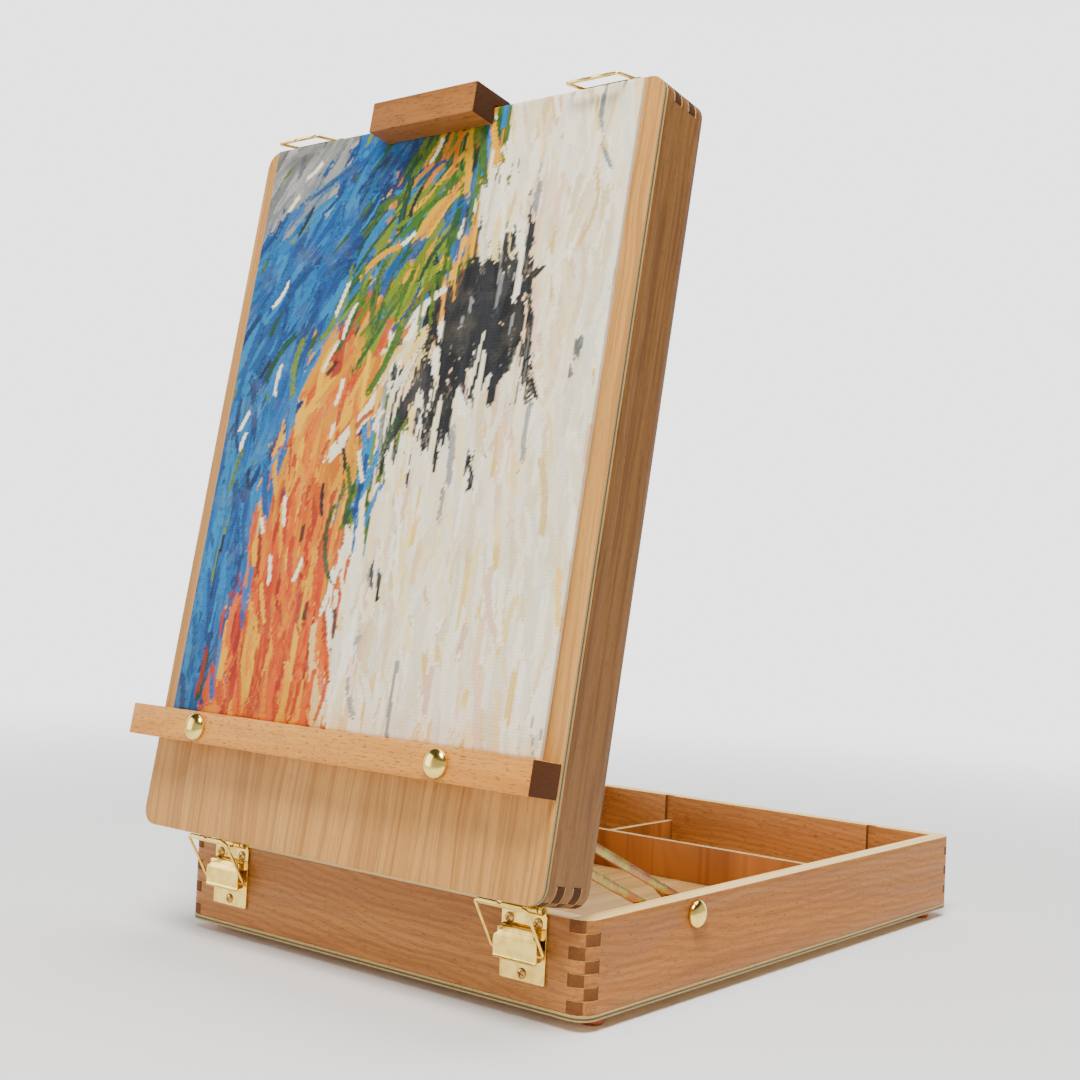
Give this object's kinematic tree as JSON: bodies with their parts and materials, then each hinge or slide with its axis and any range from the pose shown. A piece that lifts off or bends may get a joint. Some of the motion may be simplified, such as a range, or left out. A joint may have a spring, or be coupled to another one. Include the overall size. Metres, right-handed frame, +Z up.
{
  "type": "french box easel",
  "caption": "Table-top box easel: a hinged lid leans back on slotted stays over a divided tray and holds a canvas board between a ledge and a sliding clamp block.",
  "frame": {"origin": "centre of the object's box on the surface it stands on, level with the bottoms of the four feet", "axes": "+X to the right of a person facing the easel, +Y from the front of the tray to its back, +Z up; the lid is open at its resting lean"},
  "size_m": [0.2894, 0.4462, 0.4548],
  "materials": {
    "beech": "satin oiled beech",
    "plywood": "satin plywood face",
    "pale_ply": "bare plywood",
    "brass": "polished brass plate",
    "zinc": "yellow zinc plate",
    "canvas": "painted canvas board",
    "foot_plastic": "moulded"
  },
  "bodies": {
    "tray": {"tray_base": "pale_ply", "tray_front_wall": "beech", "tray_rear_wall": "beech", "tray_left_wall": "beech", "tray_right_wall": "beech", "long_divider": "pale_ply", "short_divider": "pale_ply", "foot_front_left": "foot_plastic", "foot_front_right": "foot_plastic", "foot_rear_left": "foot_plastic", "foot_rear_right": "foot_plastic", "front_latch_plate_left": "brass", "front_latch_plate_right": "brass", "hinge_pin_left": "brass", "hinge_pin_right": "brass", "stay_bolt_left": "brass", "stay_bolt_right": "brass", "rear_strike_left": "brass", "rear_strike_right": "brass"},
    "lid": {"lid_panel": "plywood", "lid_top_wall": "beech", "lid_bottom_wall": "beech", "lid_left_wall": "beech", "lid_right_wall": "beech", "lid_hinge_leaf_left": "brass", "lid_hinge_leaf_right": "brass", "lid_latch_plate_left": "brass", "lid_latch_plate_right": "brass", "ledge": "beech", "ledge_bolt_left": "brass", "ledge_bolt_right": "brass", "canvas_board": "canvas", "mast_guide_left": "beech", "mast_guide_right": "beech", "mast_bridge": "beech"},
    "mast": {"mast": "beech", "clamp_block": "beech"},
    "mast_thumbscrew": {"mast_thumbscrew": "brass"},
    "stay_swivel_left": {"stay_washer_left": "zinc"},
    "stay_left": {"stay_left": "zinc", "stay_rivet_left": "brass"},
    "stay_wing_nut_left": {"stay_wing_nut_left": "brass"},
    "ledge_wing_nut_left": {"ledge_wing_nut_left": "brass"},
    "front_lever_left": {"front_latch_lever_left": "brass"},
    "front_bail_left": {"front_latch_bail_left": "brass"},
    "lid_lever_left": {"lid_latch_lever_left": "brass"},
    "lid_bail_left": {"lid_latch_bail_left": "brass"},
    "stay_swivel_right": {"stay_washer_right": "zinc"},
    "stay_right": {"stay_right": "zinc", "stay_rivet_right": "brass"},
    "stay_wing_nut_right": {"stay_wing_nut_right": "brass"},
    "ledge_wing_nut_right": {"ledge_wing_nut_right": "brass"},
    "front_lever_right": {"front_latch_lever_right": "brass"},
    "front_bail_right": {"front_latch_bail_right": "brass"},
    "lid_lever_right": {"lid_latch_lever_right": "brass"},
    "lid_bail_right": {"lid_latch_bail_right": "brass"}
  },
  "joints": [
    {"name": "lid_tilt", "type": "hinge", "parent": "tray", "child": "lid", "pos_m": [0, -0.17608, 0.0532], "axis": [1, 0, 0], "range_deg": [-80.17, 0]},
    {"name": "stay_swing_left", "type": "hinge", "parent": "tray", "child": "stay_swivel_left", "pos_m": [-0.1285, -0.08389, 0.0429], "axis": [1, 0, 0], "range_deg": [0, 9]},
    {"name": "stay_slide_left", "type": "slide", "parent": "stay_swivel_left", "child": "stay_left", "axis": [0, 0.9113, -0.4118], "range_m": [0, 0.0392]},
    {"name": "stay_nut_turn_left", "type": "hinge", "parent": "tray", "child": "stay_wing_nut_left", "pos_m": [-0.122, -0.08389, 0.0429], "axis": [1, 0, 0], "range_deg": [0, 180]},
    {"name": "front_lever_left", "type": "hinge", "parent": "tray", "child": "front_lever_left", "pos_m": [-0.104, -0.17749, 0.0413], "axis": [1, 0, 0], "range_deg": [-85, 0]},
    {"name": "front_bail_left", "type": "hinge", "parent": "front_lever_left", "child": "front_bail_left", "pos_m": [-0.104, -0.17788, 0.0325], "axis": [1, 0, 0], "range_deg": [0, 128]},
    {"name": "lid_lever_left", "type": "hinge", "parent": "lid", "child": "lid_lever_left", "pos_m": [-0.104, -0.11655, 0.44661], "axis": [1, 0, 0], "range_deg": [-80, 0]},
    {"name": "lid_bail_left", "type": "hinge", "parent": "lid_lever_left", "child": "lid_bail_left", "pos_m": [-0.104, -0.12515, 0.44851], "axis": [1, 0, 0], "range_deg": [-120, 0]},
    {"name": "ledge_nut_turn_left", "type": "hinge", "parent": "lid", "child": "ledge_wing_nut_left", "pos_m": [-0.085, -0.19149, 0.11484], "axis": [0, 0.9853, -0.1707], "range_deg": [0, 180]},
    {"name": "stay_swing_right", "type": "hinge", "parent": "tray", "child": "stay_swivel_right", "pos_m": [0.1285, -0.08389, 0.0429], "axis": [1, 0, 0], "range_deg": [0, 9]},
    {"name": "stay_slide_right", "type": "slide", "parent": "stay_swivel_right", "child": "stay_right", "axis": [0, 0.9113, -0.4118], "range_m": [0, 0.0392]},
    {"name": "stay_nut_turn_right", "type": "hinge", "parent": "tray", "child": "stay_wing_nut_right", "pos_m": [0.122, -0.08389, 0.0429], "axis": [-1, 0, 0], "range_deg": [0, 180]},
    {"name": "front_lever_right", "type": "hinge", "parent": "tray", "child": "front_lever_right", "pos_m": [0.104, -0.17749, 0.0413], "axis": [1, 0, 0], "range_deg": [-85, 0]},
    {"name": "front_bail_right", "type": "hinge", "parent": "front_lever_right", "child": "front_bail_right", "pos_m": [0.104, -0.17788, 0.0325], "axis": [1, 0, 0], "range_deg": [0, 128]},
    {"name": "lid_lever_right", "type": "hinge", "parent": "lid", "child": "lid_lever_right", "pos_m": [0.104, -0.11655, 0.44661], "axis": [1, 0, 0], "range_deg": [-80, 0]},
    {"name": "lid_bail_right", "type": "hinge", "parent": "lid_lever_right", "child": "lid_bail_right", "pos_m": [0.104, -0.12515, 0.44851], "axis": [1, 0, 0], "range_deg": [-120, 0]},
    {"name": "ledge_nut_turn_right", "type": "hinge", "parent": "lid", "child": "ledge_wing_nut_right", "pos_m": [0.085, -0.19149, 0.11484], "axis": [0, 0.9853, -0.1707], "range_deg": [0, 180]},
    {"name": "mast_slide", "type": "slide", "parent": "lid", "child": "mast", "axis": [0, 0.1707, 0.9853], "range_m": [0, 0.085]},
    {"name": "thumbscrew_turn", "type": "hinge", "parent": "lid", "child": "mast_thumbscrew", "pos_m": [0, -0.13792, 0.35836], "axis": [0, 0.9853, -0.1707], "range_deg": [0, 180]}
  ],
  "couplings": [
    {"joint": "stay_swing_left", "follows": "lid_tilt", "ratio": -0.11126},
    {"joint": "stay_slide_left", "follows": "lid_tilt", "m_per_rad": -0.027936},
    {"joint": "front_bail_left", "follows": "front_lever_left", "ratio": -1.5},
    {"joint": "stay_swing_right", "follows": "lid_tilt", "ratio": -0.11126},
    {"joint": "stay_slide_right", "follows": "lid_tilt", "m_per_rad": -0.027936},
    {"joint": "front_bail_right", "follows": "front_lever_right", "ratio": -1.5}
  ]
}
